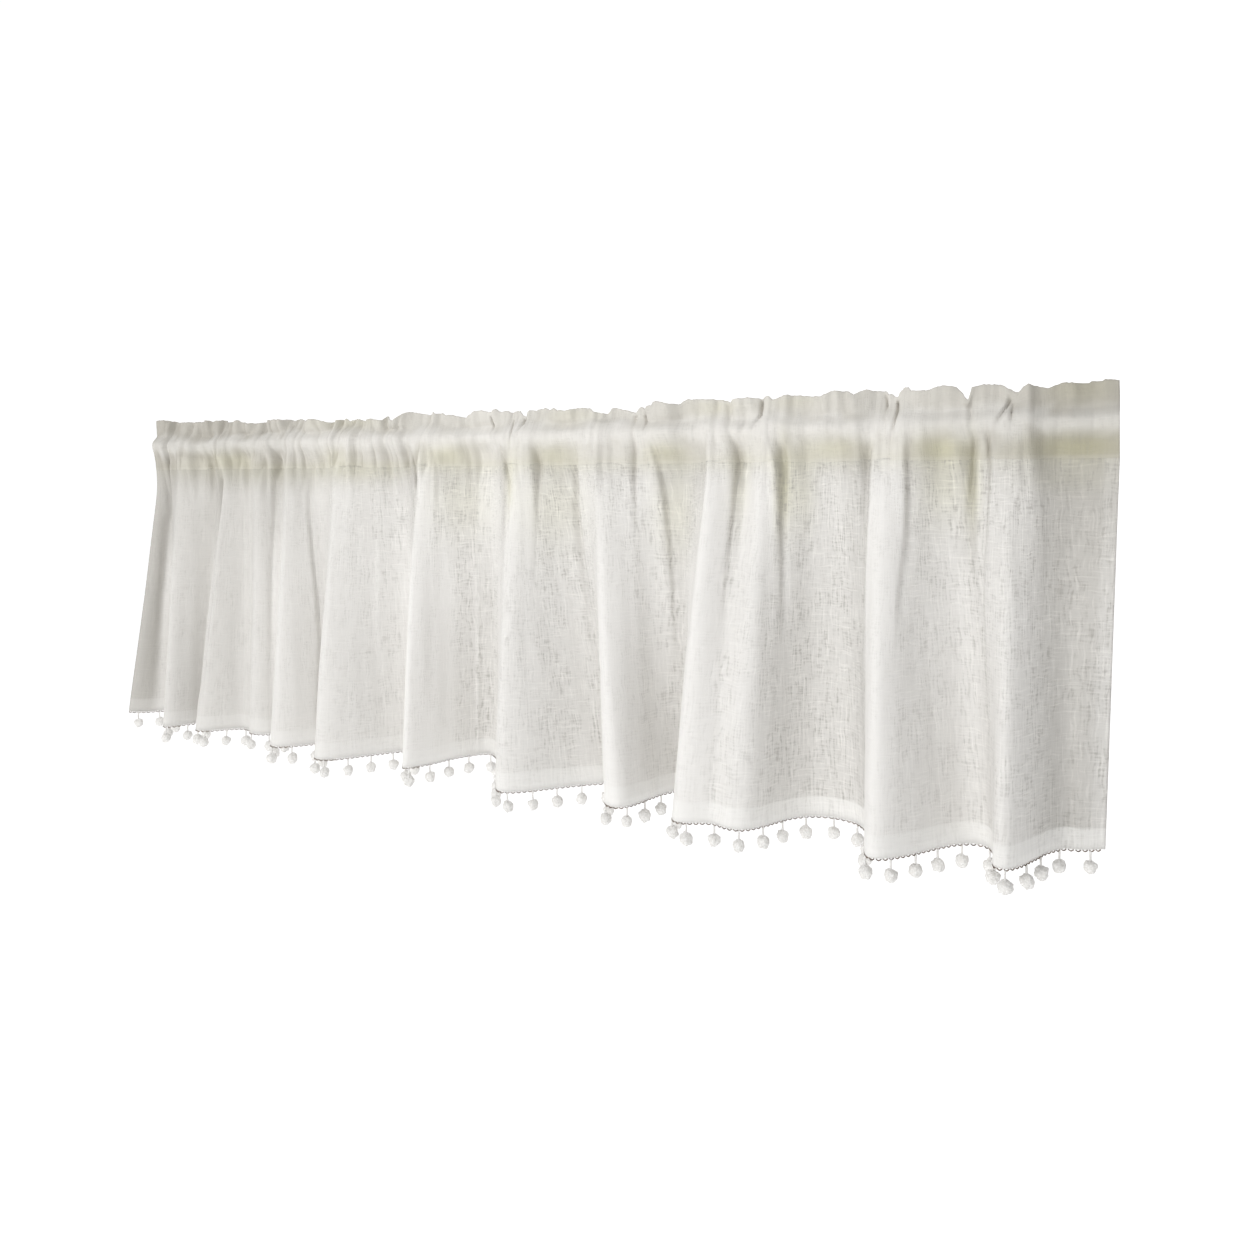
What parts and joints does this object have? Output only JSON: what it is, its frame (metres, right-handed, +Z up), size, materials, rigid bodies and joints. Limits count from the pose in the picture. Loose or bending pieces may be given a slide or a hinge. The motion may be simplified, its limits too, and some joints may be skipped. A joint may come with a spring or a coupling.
{
  "type": "short rod-pocket curtain with a pompom trim",
  "caption": "White semi-sheer slubby short curtain with a frilled rod-pocket heading, hanging in uneven soft folds, and a pompom trim sewn along its hem.",
  "frame": {"origin": "middle of the frill's top edge, in the upright plane through the rod pocket's centre line", "axes": "+X along the rod, from the left end to the right as seen from the room; +Y back to the window; +Z up"},
  "size_m": [1.3615, 0.1638, 0.472],
  "materials": {
    "doubled_cloth": "two layers of slubby off-white cotton and linen cloth, with a faint ivory cast",
    "cloth": "one layer of semi-sheer slubby off-white cloth, matt",
    "trim": "white cotton yarn, matt and fluffy"
  },
  "bodies": {
    "root": {"heading": "doubled_cloth", "panel": "cloth", "pompom_trim": "trim"}
  },
  "joints": []
}
